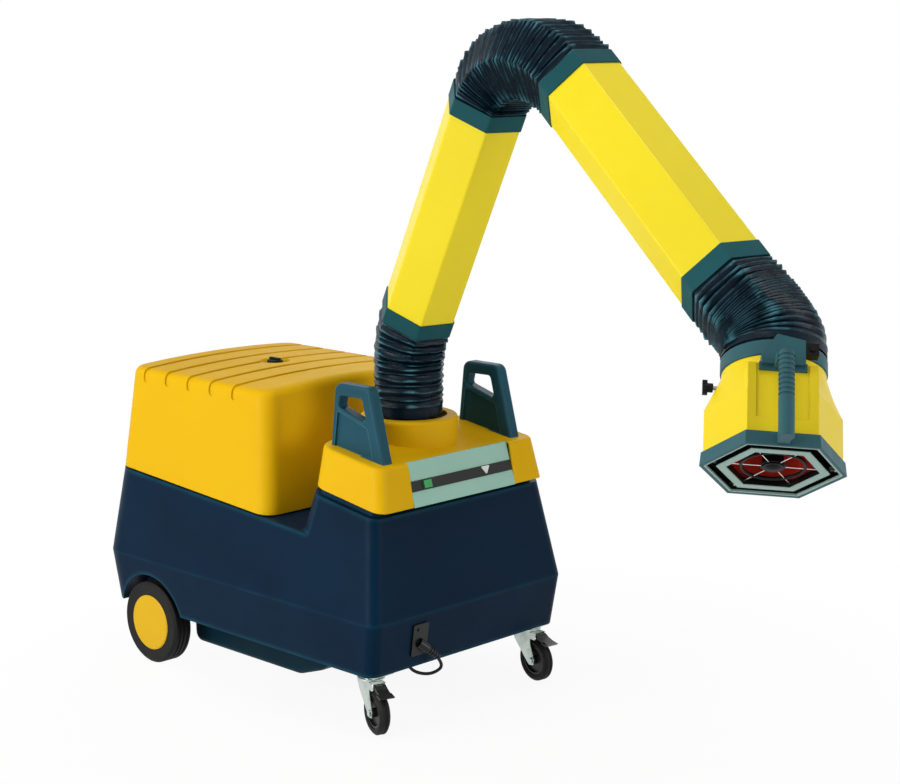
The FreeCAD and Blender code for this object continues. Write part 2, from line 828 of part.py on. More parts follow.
def hexPrism(side, low, high, radius=0.0):
    points = hexPoints(side, low)
    wire = roundWire(points, radius) if radius else polygon(points)
    return plate(wire, Vec(0, 0, high - low))


def hexTube(side, length):
    outer = hexPrism(side, -tubeInCuff, length + tubeInCuff, hexRound)
    inner = hexPrism(side - tubeWall * 2 / math.sqrt(3), -tubeInCuff, length + tubeInCuff, hexRound - 1.5)
    return outer.cut(inner)


def cuffs(side, length):
    bodies = []
    for low in (-cuffLength, length):
        outer = hexPrism(side + 3.5, low, low + cuffLength, hexRound + 1)
        bodies.append(outer.cut(hexPrism(side, low - 1, low + cuffLength + 1, hexRound)))
    return bodies


def crossBar(side, z, thick):
    inner = side - tubeWall * 2 / math.sqrt(3)
    ring = hexPrism(inner, z - thick / 2, z + thick / 2, hexRound - 1.5)
    ring = ring.cut(hexPrism(inner - 5, z - thick / 2, z + thick / 2, 4))
    bar = box((-12, -inner * 0.95, z - thick / 2), (12, inner * 0.95, z + thick / 2))
    bar = bar.common(hexPrism(inner, z - thick, z + thick, hexRound - 1.5))
    return join(ring, bar)


def link(start, stop, width, low, high):
    a = Vec(start[0], low, start[1])
    b = Vec(stop[0], low, stop[1])
    run = (b - a).normalize()
    across = Vec(run.z, 0, -run.x) * (width / 2)
    bar = plate(polygon([a - across, b - across, b + across, a + across]), Vec(0, high - low, 0))
    eye = rod(width / 2, b, b + Vec(0, high - low, 0))
    return join(bar, eye)


def fork(start, stop, width):
    cheeks = []
    for low in (-cheekGap - cheekThick, cheekGap):
        cheeks.append(link(start, stop, width, low, low + cheekThick))
    return cheeks


def pivotBolt(at, head=9.0):
    reach = cheekGap + cheekThick
    a = Vec(at[0], -reach - 8, at[1])
    b = Vec(at[0], reach + 8, at[1])
    shaft = rod(boltRadius, a, b)
    caps = []
    for side in (-1, 1):
        caps.append(rod(head, Vec(at[0], side * reach, at[1]), Vec(at[0], side * (reach + 8), at[1])))
    return join(shaft, *caps)


def tongue(start, stop, width):
    bar = link(start, stop, width, -cheekGap + 0.5, cheekGap - 0.5)
    eye = rod(boltRadius + runFit, Vec(stop[0], -50, stop[1]), Vec(stop[0], 50, stop[1]))
    return bar.cut(eye)


def localXZ(place, point):
    p = place.inverse().multVec(point)
    return (p.x, p.z)


def swivelRing():
    sleeve = standing(sleeveRadius, ductRadius + runFit, swivelX, 0, ledgeTop + 7.4, sleeveTop)
    lip = standing(sleeveRadius + 7, sleeveRadius - 1, swivelX, 0, ledgeTop + 14, ledgeTop + 24)
    return join(sleeve, lip)


def shoulderFork():
    bar = box((-13, -75, sleeveTop), (13, 75, sleeveTop + 10))
    bar = bar.common(Part.makeCylinder(76, 40, Vec(0, 0, sleeveTop - 10)))
    cheeks = fork((0, sleeveTop + 4), (0, shoulderZ), 28)
    body = join(bar, pivotBolt((0, shoulderZ)), *cheeks)
    return placed(body, armFrame)


def lowerBrackets():
    foot = localXZ(lowerFrame, shoulderPoint)
    top = localXZ(lowerFrame, elbowPoint)
    low = join(crossBar(lowerSide, -12, 16), tongue((0, -12), foot, 26))
    cheeks = fork((0, lowerLength + 12), top, 30)
    high = join(crossBar(lowerSide, lowerLength + 12, 16), pivotBolt(top), *cheeks)
    return [placed(low, lowerFrame), placed(high, lowerFrame)]


def upperBrackets():
    top = localXZ(upperFrame, elbowPoint)
    low = join(crossBar(upperSide, -12, 16), tongue((0, -12), top, 28))
    end = upperLength + wristReach
    strut = standing(17, 8 + runFit, 0, 0, upperLength + 4, end - 76)
    bar = crossBar(upperSide, upperLength + 12, 16)
    high = join(bar.cut(Part.makeCylinder(16, 60, Vec(0, 0, upperLength - 20))), strut)
    return [placed(low, upperFrame), placed(high, upperFrame)]


def wristYoke():
    shaft = Part.makeCylinder(8, 120, Vec(0, 0, -75.5 - 110))
    disc = Part.makeCylinder(20, 8, Vec(0, 0, -75.5))
    base = box((-15, -cheekGap - cheekThick, -70), (15, cheekGap + cheekThick, -58))
    cheeks = fork((0, -66), (0, 0), 26)
    shaft = shaft.cut(box((-9, -9, -66), (9, 9, 0)))
    return placed(join(shaft, disc, base, pivotBolt((0, 0)), *cheeks), yokeFrame)


def neckRing():
    drop = -hoodDrop
    ring = standing(ringRadius, 92, 0, 0, drop + 227, drop + 263)
    ring = ring.makeFillet(4, [e for e in ring.Edges if e.BoundBox.XLength > 2 * ringRadius - 1])
    spigot = standing(spigotRadius, 92, 0, 0, drop + 200, drop + 229)
    top = standing(104, 92, 0, 0, drop + 261, drop + 280)
    bars = []
    for angle in (0, 60, 120):
        bar = box((-94, -5, drop + 256), (94, 5, drop + 266))
        bar.rotate(Vec(0, 0, 0), Vec(0, 0, 1), angle)
        bars.append(bar)
    bars.append(Part.makeCylinder(20, 12, Vec(0, 0, drop + 255)))
    lug = tongue((0, drop + 260), (0, 0), 24)
    return placed(join(ring, spigot, top, lug, *bars), neckFrame)


# Hoses, pleated tubes that bend with the arm

def hermite(p0, t0, p1, t1, s):
    a = 2 * s ** 3 - 3 * s ** 2 + 1
    b = s ** 3 - 2 * s ** 2 + s
    c = -2 * s ** 3 + 3 * s ** 2
    d = s ** 3 - s ** 2
    return p0 * a + t0 * b + p1 * c + t1 * d


def hoseSection(centre, along, side, radii):
    z = Vec(along)
    z.normalize()
    x = side.cross(z)
    x.normalize()
    y = z.cross(x)
    points = []
    for i in range(12):
        angle = math.radians(30 * i)
        radius = radii[i % 2]
        points.append(centre + x * (radius * math.cos(angle)) + y * (radius * math.sin(angle)))
    return polygon(points)


def hexRadii(side):
    return (side * math.sqrt(3) / 2, side)


def blendRadii(first, last, s):
    return tuple(a + (b - a) * s for a, b in zip(first, last))


def hose(p0, t0, p1, t1, side0, side1, first, last, ribs, depth, thick, collars, ease=1.1):
    span = (p1 - p0).Length
    d0 = Vec(t0)
    d0.normalize()
    d1 = Vec(t1)
    d1.normalize()
    pull = span * ease
    stations = []
    start = p0 - d0 * collars[0]
    stop = p1 + d1 * collars[1]
    stations.append((start, d0, 0.0, 0.0))
    steps = ribs * 4
    for i in range(steps + 1):
        s = i / steps
        point = hermite(p0, d0 * pull, p1, d1 * pull, s)
        near = hermite(p0, d0 * pull, p1, d1 * pull, min(s + 0.002, 1.0))
        prior = hermite(p0, d0 * pull, p1, d1 * pull, max(s - 0.002, 0.0))
        rise = depth if i % 4 in (2, 3) else 0.0
        stations.append((point, near - prior, s, rise))
    stations.append((stop, d1, 1.0, 0.0))
    outer = []
    inner = []
    for i, (point, along, s, rise) in enumerate(stations):
        side = side0 + (side1 - side0) * s
        radii = blendRadii(first, last, s)
        outer.append(hoseSection(point, along, side, tuple(r + rise for r in radii)))
        if i in (0, 1, len(stations) - 2, len(stations) - 1) or i % 4 == 1:
            inner.append(hoseSection(point, along, side, tuple(r - thick for r in radii)))
    return loft(*outer).cut(loft(*inner))


def shoulderHose():
    p0 = armPoint(0, sleeveTop + 4)
    p1 = armPoint(*lowerStart) - lowerAxis * cuffLength
    first = (84.0, 84.0)
    last = hexRadii(lowerSide - 3.5)
    ends = (22, cuffLength - tubeInCuff - 0.2)
    return hose(p0, Vec(0, 0, 1), p1, lowerAxis, armN, armN, first, last, 10, 5, 4.0, ends)


def elbowHose():
    p0 = armPoint(*lowerStart) + lowerAxis * (lowerLength + cuffLength)
    p1 = armPoint(*upperStart) - upperAxis * cuffLength
    ends = (cuffLength - tubeInCuff - 0.2, cuffLength - tubeInCuff - 0.2)
    first = hexRadii(lowerSide - 3.5)
    last = hexRadii(upperSide - 3.5)
    return hose(p0, lowerAxis, p1, upperAxis, armN, armN, first, last, 15, 6, 6.0, ends)


def hoodHose():
    p0 = upperEnd + upperAxis * cuffLength
    p1 = hoodCentre + hoodUp * 282
    last = (114.0, 114.0)
    ends = (cuffLength - tubeInCuff - 0.2, 16)
    first = hexRadii(upperSide - 3.5)
    return hose(p0, upperAxis, p1, hoodAxis, armN, armN, first, last, 9, 5, 4.0, ends, 0.9)


# Hood

def hexToRound(side, low, radius, high):
    corners = hexPoints(side, low)
    arcs = []
    for i in range(6):
        a = math.radians(30 + 60 * i)
        m = math.radians(60 + 60 * i)
        b = math.radians(90 + 60 * i)
        start = Vec(radius * math.cos(a), radius * math.sin(a), high)
        middle = Vec(radius * math.cos(m), radius * math.sin(m), high)
        stop = Vec(radius * math.cos(b), radius * math.sin(b), high)
        arcs.append(Part.Arc(start, middle, stop).toShape())
    return loft(polygon(corners), Part.Wire(arcs))


def hoodShell():
    skin = 3.5
    roof = hexToRound(shellSide, eavesZ, neckRadius, neckZ)
    neck = Part.makeCylinder(neckRadius, 11, Vec(0, 0, neckZ))
    outer = join(hexPrism(shellSide, rimHeight - 4, eavesZ), roof, neck)
    flat = shellSide * math.sqrt(3) / 2
    block = box((60, -76, eavesZ - 10), (flat, 76, 196))
    under = hexToRound(shellSide - 4, eavesZ, neckRadius - skin, neckZ - 3)
    inner = join(hexPrism(shellSide - 4, 0, eavesZ), under)
    collar = standing(neckRadius, spigotRadius + runFit, 0, 0, 203, neckZ + 11)
    solid = join(outer.cut(inner), block.cut(inner), collar.cut(hexPrism(shellSide, 0, 150)))
    solid = solid.cut(Part.makeCylinder(spigotRadius + runFit, 60, Vec(0, 0, 190)))
    solid = solid.cut(box((flat - 12, -52, 178), (flat + 10, 52, 240)))
    solid = solid.cut(box((flat - 2, -57, 67), (flat + 10, 57, 240)))
    hole = rod(5 + runFit, Vec(0, -200, damperZ), Vec(0, 0, damperZ))
    return solid.cut(hole)


def hoodRim():
    outer = loft(polygon(hexPoints(mouthSide, 0)), polygon(hexPoints(mouthSide - 3, rimHeight)))
    inner = hexPrism(mouthSide - 8, -1, rimHeight + 1)
    body = outer.cut(inner)
    return body.cut(hexPrism(shellSide, rimHeight - 4, rimHeight + 5))


def mouthFrame():
    lip = hexPrism(mouthSide - 8, 1, 6).cut(hexPrism(147, 0, 10))
    inner = hexPrism(124, 2, 10).cut(hexPrism(103, 0, 12))
    skirt = hexPrism(112, 9, 18).cut(hexPrism(107, 0, 20))
    webs = []
    for i in range(3):
        web = box((-150, -6, 14), (150, 6, 18))
        web.rotate(Vec(0, 0, 0), Vec(0, 0, 1), 30 + 60 * i)
        webs.append(web.common(hexPrism(mouthSide - 8, 0, 20)).cut(hexPrism(109, 0, 20)))
    wallRing = hexPrism(mouthSide - 8, 1, rimHeight - 4).cut(hexPrism(mouthSide - 12, 0, 40))
    return join(lip, inner, skirt, wallRing, *webs)


def hoodGuard():
    ring = Part.makeTorus(70, 4.0, Vec(0, 0, 13))
    spokes = []
    for i in range(6):
        a = math.radians(30 + 60 * i)
        out = Vec(math.cos(a), math.sin(a), 0)
        spokes.append(rod(1.6, out * 26 + Vec(0, 0, 11.6), out * 103 + Vec(0, 0, 11.6)))
    hub = standing(28, 24.2, 0, 0, 9, 17)
    return join(hub, ring, *spokes)


def hoodLamp():
    can = Part.makeCylinder(24, 40, Vec(0, 0, 8))
    lens = Part.makeSphere(34, Vec(0, 0, 36)).common(Part.makeCylinder(20, 20, Vec(0, 0, 0)))
    return join(can, lens)


def hoodBaffle():
    cone = hexToRound(120, 19, throatRadius + 4, 120)
    hollow = hexToRound(116.5, 19, throatRadius, 120)
    throat = standing(throatRadius + 4, throatRadius, 0, 0, 120, 199)
    arms = []
    for i in range(6):
        arm = box((throatRadius + 1, -2, 150), (130, 2, 170))
        arm.rotate(Vec(0, 0, 0), Vec(0, 0, 1), 60 * i)
        arms.append(arm.common(hexToRound(shellSide - 4, eavesZ, neckRadius - 3.5, neckZ - 3)))
    body = join(cone.cut(hollow), throat, *arms)
    return body.cut(rod(5.6, Vec(0, -200, damperZ), Vec(0, 200, damperZ)))


def hoodHandle():
    flat = shellSide * math.sqrt(3) / 2
    barX = flat + 46
    bar = Part.makeCylinder(15.5, 200, Vec(barX, 0, 3))
    grip = Part.makeCylinder(17.5, 92, Vec(barX, 0, 2))
    ribs = []
    for i in range(9):
        ribs.append(Part.makeCylinder(17.5, 6, Vec(barX, 0, 100 + 11.5 * i)))
    foot = box((mouthSide * math.sqrt(3) / 2 - 3, -13, 3), (barX, 13, 24))
    foot = foot.cut(loft(polygon(hexPoints(mouthSide, 0)), polygon(hexPoints(mouthSide - 3, rimHeight))))
    head = box((flat + 5, -20, 182), (barX, 20, 203))
    saddle = box((flat - 12, -52, 178), (flat + 5, 52, 197))
    house = [Vec(flat - 12, -48, 190), Vec(flat - 12, 47, 190), Vec(flat - 12, 47, 250)]
    house += [Vec(flat - 12, -14, 262), Vec(flat - 12, -48, 212)]
    roof = plate(polygon(house), Vec(24, 0, 0))
    return join(bar, grip, foot, head, saddle, roof, *ribs)


def switchBox():
    flat = shellSide * math.sqrt(3) / 2
    body = box((flat - 12, 47, 216), (flat + 10, 76, 248))
    body = body.makeFillet(3, [e for e in body.Edges if e.BoundBox.ZMin > 245])
    return body.cut(rod(7 + runFit, Vec(flat + 2, 62, 232), Vec(flat + 40, 62, 232)))


def hoodButton():
    flat = shellSide * math.sqrt(3) / 2
    return rod(7, Vec(flat + 5, 62, 232), Vec(flat + 13, 62, 232))


def damperFlap():
    disc = box((-1.5, -58, damperZ - 58), (1.5, 58, damperZ + 58))
    disc = disc.common(rod(58, Vec(-10, 0, damperZ), Vec(10, 0, damperZ)))
    shaft = rod(5, Vec(0, -147, damperZ), Vec(0, 64, damperZ))
    return join(disc, shaft)


def damperKnob():
    hub = rod(10.5, Vec(0, -153, damperZ), Vec(0, -135, damperZ))
    wing = box((-4.5, -158, damperZ - 17), (4.5, -147, damperZ + 17))
    return join(hub, wing).cut(rod(5, Vec(0, -147, damperZ), Vec(0, -100, damperZ)))


def build():
    keep("chassis_shell", chassisShell())
    keep("belly_pan", bellyPan())
    keep("filter_cover", filterCover())
    keep("cover_knob", coverKnob())
    keep("filter_seat", filterSeat())
    keep("filter_cartridge", *filterCartridge())
    keep("tower_cap", towerCap())
    keep("control_panel", controlPanel())
    keep("panel_strip", panelStrip())
    keep("rocker_switch", rockerSwitch())
    keep("indicator_lens", indicatorLens())
    keep("handle_right", loopHandle(-1))
    keep("handle_left", loopHandle(1))
    keep("gland_plate", glandPlate())
    keep("strain_relief", strainRelief(cableStart, cableAlong))
    keep("cable_loop", cableLoop())
    keep("inlet_duct", inletDuct())
    keep("fan_housing", fanHousing())
    keep("fan_motor", fanMotor())
    keep("fan_impeller", fanImpeller())
    keep("rear_axle", rearAxle())
    keep("caster_plates", *casterPlates())
    for side, word in ((-1, "right"), (1, "left")):
        keep("rear_tyre_" + word, rearTyre(side))
        keep("rear_hub_" + word, rearHub(side))
        keep("caster_fork_" + word, casterFork(side))
        keep("caster_tyre_" + word, casterTyre(side))
        keep("caster_hub_" + word, casterHub(side))
        keep("caster_pedal_" + word, casterPedal(side))
    keep("swivel_ring", swivelRing())
    keep("shoulder_fork", shoulderFork())
    keep("shoulder_hose", shoulderHose())
    keep("lower_tube", placed(hexTube(lowerSide, lowerLength), lowerFrame))
    keep("lower_cuffs", *[placed(c, lowerFrame) for c in cuffs(lowerSide, lowerLength)])
    keep("lower_brackets", *lowerBrackets())
    keep("elbow_hose", elbowHose())
    keep("upper_tube", placed(hexTube(upperSide, upperLength), upperFrame))
    keep("upper_cuffs", *[placed(c, upperFrame) for c in cuffs(upperSide, upperLength)])
    keep("upper_brackets", *upperBrackets())
    keep("hood_hose", hoodHose())
    keep("wrist_yoke", wristYoke())
    keep("neck_ring", neckRing())
    keep("hood_shell", placed(hoodShell(), hoodFrame))
    keep("hood_rim", placed(hoodRim(), hoodFrame))
    keep("hood_mouth_frame", placed(mouthFrame(), hoodFrame))
    keep("hood_guard", placed(hoodGuard(), hoodFrame))
    keep("hood_lamp", placed(hoodLamp(), hoodFrame))
    keep("hood_baffle", placed(hoodBaffle(), hoodFrame))
    keep("hood_handle", placed(hoodHandle(), hoodFrame))
    keep("hood_switch_box", placed(switchBox(), hoodFrame))
    keep("hood_button", placed(hoodButton(), hoodFrame))
    keep("damper_flap", placed(damperFlap(), hoodFrame))
    keep("damper_knob", placed(damperKnob(), hoodFrame))


build()
os.makedirs("parts", exist_ok=True)
for name, shape in pieces.items():
    shape.exportStep("parts/" + name + ".step")
whole = Part.makeCompound([s for n, s in pieces.items() if n != "cable_loop"]).BoundBox
print("box x", round(whole.XMin, 2), round(whole.XMax, 2), "y", round(whole.YMin, 2), round(whole.YMax, 2))
print("box z", round(whole.ZMin, 2), round(whole.ZMax, 2))
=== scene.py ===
import bpy
import bmesh
import json
import math
from mathutils import Matrix, Vector, noise
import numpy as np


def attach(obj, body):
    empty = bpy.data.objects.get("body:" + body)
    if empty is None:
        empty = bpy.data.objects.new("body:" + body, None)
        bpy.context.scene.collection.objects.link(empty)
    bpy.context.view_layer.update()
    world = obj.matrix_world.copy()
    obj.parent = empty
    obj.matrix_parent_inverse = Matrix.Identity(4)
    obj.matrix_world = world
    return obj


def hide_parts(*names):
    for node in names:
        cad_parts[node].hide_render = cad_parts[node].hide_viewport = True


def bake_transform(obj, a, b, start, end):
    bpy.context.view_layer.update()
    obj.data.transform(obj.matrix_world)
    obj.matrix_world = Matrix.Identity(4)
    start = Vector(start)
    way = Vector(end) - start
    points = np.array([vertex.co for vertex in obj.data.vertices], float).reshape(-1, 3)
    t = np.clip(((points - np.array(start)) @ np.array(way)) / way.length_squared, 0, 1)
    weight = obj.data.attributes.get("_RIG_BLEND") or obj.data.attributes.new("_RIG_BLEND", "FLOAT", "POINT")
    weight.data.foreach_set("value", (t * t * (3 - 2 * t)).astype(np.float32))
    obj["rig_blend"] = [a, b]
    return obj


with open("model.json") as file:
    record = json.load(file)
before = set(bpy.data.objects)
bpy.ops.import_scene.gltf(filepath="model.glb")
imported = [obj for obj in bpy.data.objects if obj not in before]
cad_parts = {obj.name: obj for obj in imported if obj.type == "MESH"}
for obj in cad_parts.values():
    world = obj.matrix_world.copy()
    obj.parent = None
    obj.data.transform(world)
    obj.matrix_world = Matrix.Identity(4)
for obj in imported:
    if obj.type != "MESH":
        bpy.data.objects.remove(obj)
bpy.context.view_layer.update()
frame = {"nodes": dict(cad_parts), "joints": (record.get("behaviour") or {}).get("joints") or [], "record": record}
nodes = frame["nodes"]
scene = bpy.context.scene
scene.view_settings.view_transform = "Standard"
print("frame loaded:", len(nodes), "nodes")


def shade(red, green, blue):  # 0 to 255 as seen on a screen, made linear
    levels = [c / 255 for c in (red, green, blue)]
    linear = [c / 12.92 if c < 0.04045 else ((c + 0.055) / 1.055) ** 2.4 for c in levels]
    return (*linear, 1.0)


# Camera at the photograph's angle

view = {
    "eye": (3.70798, -3.91266, 1.95),
    "target": (-0.20359, 0.08464, 0.905),
    "lens": 81.32,
    "sensor": 36,
}


def makeCamera():
    lensData = bpy.data.cameras.new("camera")
    lensData.lens = view["lens"]
    lensData.sensor_width = view["sensor"]
    camera = bpy.data.objects.new("camera", lensData)
    scene.collection.objects.link(camera)
    camera.location = view["eye"]
    look = Vector(view["target"]) - Vector(view["eye"])
    camera.rotation_euler = look.to_track_quat("-Z", "Y").to_euler()
    scene.camera = camera


makeCamera()
print("camera set")


# Studio: pale floor, soft key from the left, weak fill from the right

studio = {
    "key": ((-1.9, -5.4, 2.3), 3.2, 208, (1.0, 0.99, 0.97)),
    "kick": ((-0.6, -4.6, 0.25), 1.6, 34, (1.0, 1.0, 1.0)),
    "top": ((0.2, -0.6, 5.2), 3.0, 84, (1.0, 0.99, 0.97)),
    "fill": ((5.6, 1.2, 2.2), 2.4, 104, (1.0, 0.98, 0.96)),
    "back": ((-2.6, 4.2, 3.2), 3.0, 40, (1.0, 1.0, 1.0)),
    "aim": (0.0, 0.0, 0.9),
    "ambient": 0.2,
    "floorRadius": 600,
    "floorGrey": (0.86, 0.86, 0.86, 1),
    "floorRough": 0.8,
    "fade": (0.6, 1.9, 0.92, 1.0),  # metres from the middle, then how far the floor goes to white
}


def areaLamp(name, place, size, power, tint):
    lamp = bpy.data.lights.new(name, "AREA")
    lamp.shape = "DISK"
    lamp.size = size
    lamp.energy = power
    lamp.color = tint
    holder = bpy.data.objects.new(name, lamp)
    scene.collection.objects.link(holder)
    holder.location = place
    aim = Vector(studio["aim"]) - Vector(place)
    holder.rotation_euler = aim.to_track_quat("-Z", "Y").to_euler()


def addMath(tree, operation, first, second):
    node = tree.nodes.new("ShaderNodeMath")
    node.operation = operation
    for socket, value in zip(node.inputs, (first, second)):
        if isinstance(value, (int, float)):
            socket.default_value = value
        else:
            tree.links.new(value, socket)
    return node.outputs[0]


def addRange(tree, source, low, high, start, stop):
    node = tree.nodes.new("ShaderNodeMapRange")
    tree.links.new(source, node.inputs["Value"])
    for label, value in zip(("From Min", "From Max", "To Min", "To Max"), (low, high, start, stop)):
        node.inputs[label].default_value = value
    return node.outputs["Result"]


def mixShaders(tree, share, first, second, output):
    mix = tree.nodes.new("ShaderNodeMixShader")
    for socket, source in zip(mix.inputs, (share, first, second)):
        tree.links.new(source, socket)
    tree.links.new(mix.outputs[0], tree.nodes[output].inputs["Surface"])


def seenDirectly(tree):  # 1 for camera, mirror and glass rays
    path = tree.nodes.new("ShaderNodeLightPath")
    seen = addMath(tree, "MAXIMUM", path.outputs["Is Camera Ray"], path.outputs["Is Glossy Ray"])
    return addMath(tree, "MAXIMUM", seen, path.outputs["Is Transmission Ray"])


def makeWorld():
    world = bpy.data.worlds.new("studio")
    scene.world = world
    world.use_nodes = True
    tree = world.node_tree
    lit = tree.nodes["Background"]
    lit.inputs["Strength"].default_value = studio["ambient"]
    seen = tree.nodes.new("ShaderNodeBackground")
    for background in (lit, seen):
        background.inputs["Color"].default_value = (1, 1, 1, 1)
    mixShaders(tree, seenDirectly(tree), lit.outputs[0], seen.outputs[0], "World Output")


def makeFloor():
    bm = bmesh.new()
    bmesh.ops.create_circle(bm, cap_ends=True, segments=96, radius=studio["floorRadius"])
    mesh = bpy.data.meshes.new("floor")
    bm.to_mesh(mesh)
    bm.free()
    floor = bpy.data.objects.new("floor", mesh)
    scene.collection.objects.link(floor)
    material = bpy.data.materials.new("floor")
    material.use_nodes = True
    tree = material.node_tree
    surface = tree.nodes["Principled BSDF"]
    surface.inputs["Base Color"].default_value = studio["floorGrey"]
    surface.inputs["Roughness"].default_value = studio["floorRough"]
    glow = tree.nodes.new("ShaderNodeEmission")
    where = tree.nodes.new("ShaderNodeTexCoord")
    spread = tree.nodes.new("ShaderNodeVectorMath")
    spread.operation = "LENGTH"
    tree.links.new(where.outputs["Object"], spread.inputs[0])
    fade = addRange(tree, spread.outputs["Value"], *studio["fade"])
    share = addMath(tree, "MULTIPLY", fade, seenDirectly(tree))
    mixShaders(tree, share, surface.outputs[0], glow.outputs[0], "Material Output")
    mesh.materials.append(material)


makeWorld()
makeFloor()
for lampName in ("key", "kick", "top", "fill", "back"):
    areaLamp(lampName, *studio[lampName])
print("studio set")


# Shader groups shared by the finishes

socketKinds = {"Colour": "NodeSocketColor", "CloudTint": "NodeSocketColor", "Stain": "NodeSocketColor",
               "RidgeHighlight": "NodeSocketColor", "EdgeHighlight": "NodeSocketColor"}
plainGrey = (0.5, 0.5, 0.5, 1)


def newGroup(name, inputs, outputs):
    group = bpy.data.node_groups.new(name, "ShaderNodeTree")
    for label, value in inputs.items():
        kind = socketKinds.get(label, "NodeSocketFloat")
        group.interface.new_socket(label, in_out="INPUT", socket_type=kind).default_value = value
    for label in outputs:
        kind = socketKinds.get(label, "NodeSocketFloat")
        group.interface.new_socket(label, in_out="OUTPUT", socket_type=kind)
    entry = group.nodes.new("NodeGroupInput")
    leave = group.nodes.new("NodeGroupOutput")
    return group, entry.outputs, leave.inputs


def giveOut(group, leave, **results):
    for label, source in results.items():
        group.links.new(source, leave[label])


def addNoise(tree, source, scale, detail, rough=0.5):
    texture = tree.nodes.new("ShaderNodeTexNoise")
    texture.inputs["Scale"].default_value = scale
    texture.inputs["Detail"].default_value = detail
    texture.inputs["Roughness"].default_value = rough
    tree.links.new(source, texture.inputs["Vector"])
    return texture.outputs["Fac"]


def addMix(tree, factor, first, second):
    node = tree.nodes.new("ShaderNodeMix")
    node.data_type = "RGBA"
    tree.links.new(factor, node.inputs[0])
    tree.links.new(first, node.inputs[6])
    tree.links.new(second, node.inputs[7])
    return node.outputs[2]


def objectPlace(tree, stretch=(1, 1, 1)):
    where = tree.nodes.new("ShaderNodeTexCoord")
    turn = tree.nodes.new("ShaderNodeMapping")
    turn.inputs["Scale"].default_value = stretch
    tree.links.new(where.outputs["Object"], turn.inputs["Vector"])
    return turn.outputs["Vector"]


def mouldedGroup():  # cloudy tint, pebbled grain, faint rubbed patches
    inputs = {"Colour": plainGrey, "CloudTint": plainGrey, "Grain": 700.0, "Gloss": 0.4}
    group, entry, leave = newGroup("moulded", inputs, ("Colour", "Roughness", "Height"))
    place = objectPlace(group)
    cloud = addRange(group, addNoise(group, place, 3.0, 4.0), 0.35, 0.65, 0.0, 0.8)
    speck = addRange(group, addNoise(group, place, 160.0, 2.0), 0.62, 0.8, 0.0, 0.35)
    colour = addMix(group, addMath(group, "ADD", cloud, speck), entry["Colour"], entry["CloudTint"])
    wearAndSheen = addRange(group, addNoise(group, place, 18.0, 5.0, 0.65), 0.3, 0.7, -0.06, 0.08)
    rough = addMath(group, "ADD", entry["Gloss"], wearAndSheen)
    pebble = group.nodes.new("ShaderNodeTexVoronoi")
    group.links.new(place, pebble.inputs["Vector"])
    group.links.new(entry["Grain"], pebble.inputs["Scale"])
    grain = addMath(group, "MULTIPLY", pebble.outputs["Distance"], 0.12)
    dents = addMath(group, "MULTIPLY", addNoise(group, place, 9.0, 3.0), 0.9)
    giveOut(group, leave, Colour=colour, Roughness=rough, Height=addMath(group, "ADD", grain, dents))
    return group


def metalGroup():  # plated sheet, drawn streaks and blotches
    inputs = {"Colour": plainGrey, "Stain": plainGrey, "Gloss": 0.35}
    group, entry, leave = newGroup("sheetMetal", inputs, ("Colour", "Roughness", "Height"))
    streak = addNoise(group, objectPlace(group, (1, 1, 14)), 120.0, 3.0)
    blotch = addNoise(group, objectPlace(group), 34.0, 5.0, 0.6)
    spread = addRange(group, blotch, 0.42, 0.75, 0.0, 0.7)
    colour = addMix(group, spread, entry["Colour"], entry["Stain"])
    rough = addMath(group, "ADD", entry["Gloss"], addRange(group, streak, 0.3, 0.7, -0.08, 0.12))
    giveOut(group, leave, Colour=colour, Roughness=rough, Height=streak)
    return group


def clothGroup():  # coated cloth with fine creases; the paler colour on the pleat crests is a painted highlight
    inputs = {"Colour": plainGrey, "RidgeHighlight": plainGrey, "Gloss": 0.3}
    group, entry, leave = newGroup("coatedCloth", inputs, ("Colour", "Roughness", "Height"))
    place = objectPlace(group)
    ridge = group.nodes.new("ShaderNodeAttribute")
    ridge.attribute_name = "ridge"
    patch = addNoise(group, place, 26.0, 4.0, 0.6)
    # painted highlight: paler colour on the pleat crests, in patches
    high = addRange(group, ridge.outputs["Fac"], 0.6, 1.0, 0.0, 1.0)
    highlightMask = addMath(group, "MULTIPLY", high, addRange(group, patch, 0.4, 0.6, 0.1, 1.0))
    colour = addMix(group, highlightMask, entry["Colour"], entry["RidgeHighlight"])
    rough = addMath(group, "ADD", entry["Gloss"], addRange(group, patch, 0.35, 0.65, -0.1, 0.16))
    crease = addNoise(group, place, 95.0, 6.0, 0.7)
    weave = addMath(group, "MULTIPLY", addNoise(group, place, 900.0, 1.0), 0.05)
    giveOut(group, leave, Colour=colour, Roughness=rough, Height=addMath(group, "ADD", crease, weave))
    return group


